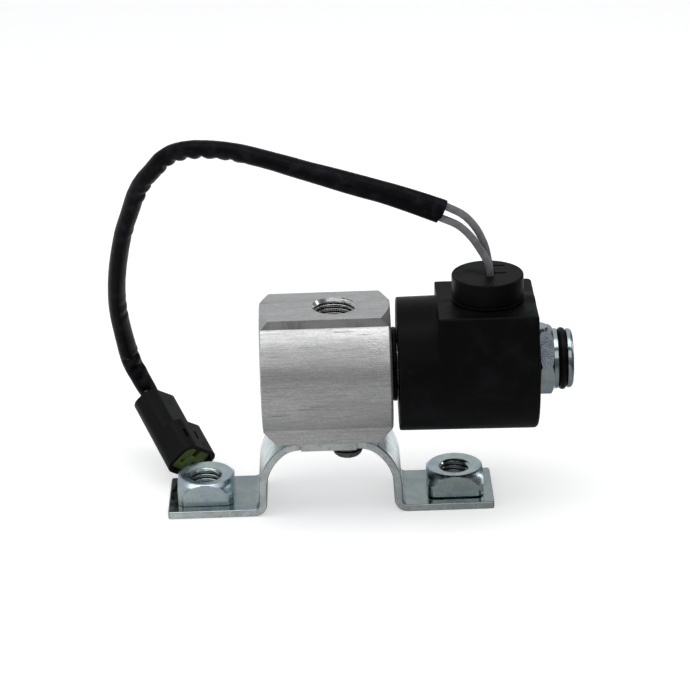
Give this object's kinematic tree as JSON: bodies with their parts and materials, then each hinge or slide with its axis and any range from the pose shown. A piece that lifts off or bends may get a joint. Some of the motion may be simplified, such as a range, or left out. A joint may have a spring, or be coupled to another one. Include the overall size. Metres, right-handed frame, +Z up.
{
  "type": "solenoid valve",
  "caption": "Direct-acting solenoid valve: round flat-sided metal body with threaded ports, side coil, bent steel mounting bracket and a sleeved lead ending in a connector.",
  "frame": {"origin": "on the bracket feet's underside plane, below the middle of the rigid valve (harness left out)", "axes": "+X along the valve axis from the body towards the coil nut; +Y to the rear, away from the side in the picture; +Z up, away from the bracket feet"},
  "size_m": [0.1412, 0.0637, 0.1138],
  "materials": {
    "extruded_aluminium": "extruded, brushed along its length",
    "zinc_plate": "zinc plated, bluish, satin",
    "machined_steel": "turned",
    "stainless_steel": "turned, ground",
    "dark_screw_steel": "dark, dull",
    "spring_wire": "drawn",
    "brass": "turned",
    "copper_wire": "enamelled winding",
    "coil_plastic": "moulded, matt",
    "connector_plastic": "moulded, matt",
    "bobbin_plastic": "natural",
    "green_plastic": "moulded, satin",
    "black_rubber": "matt",
    "vinyl_sleeve": "soft vinyl, satin",
    "grey_insulation": "wire insulation"
  },
  "bodies": {
    "housing": {"valve_body": "extruded_aluminium", "valve_cartridge": "machined_steel", "cartridge_o_ring": "black_rubber", "coil_seal_washer": "black_rubber", "valve_seat": "brass", "core_tube": "stainless_steel", "fixed_core": "machined_steel", "return_spring": "spring_wire", "coil_housing": "coil_plastic", "coil_bobbin": "bobbin_plastic", "coil_winding": "copper_wire", "pole_plate_front": "machined_steel", "pole_plate_rear": "machined_steel", "flux_tube": "machined_steel", "lead_cap": "coil_plastic", "coil_nut": "zinc_plate", "coil_nut_o_ring": "black_rubber", "tab_washer": "zinc_plate", "mounting_bracket": "zinc_plate", "weld_nut_left": "zinc_plate", "weld_nut_right": "zinc_plate", "spring_washer_front": "dark_screw_steel", "spring_washer_rear": "dark_screw_steel", "bracket_screw_front": "dark_screw_steel", "bracket_screw_rear": "dark_screw_steel", "lead_wire_front": "grey_insulation", "lead_wire_rear": "grey_insulation", "cable_sleeve": "vinyl_sleeve", "connector_housing": "connector_plastic", "connector_retainer": "green_plastic", "connector_wire_seal": "black_rubber", "connector_terminal_a": "brass", "connector_terminal_b": "brass"},
    "plunger": {"plunger": "stainless_steel", "poppet_seal": "black_rubber"}
  },
  "joints": [
    {"name": "plunger_slide", "type": "slide", "parent": "housing", "child": "plunger", "axis": [1, 0, 0], "range_m": [0, 0.0018], "stiffness_N_per_m": 600, "springref_m": -0.005, "deforming": ["return_spring"]}
  ]
}
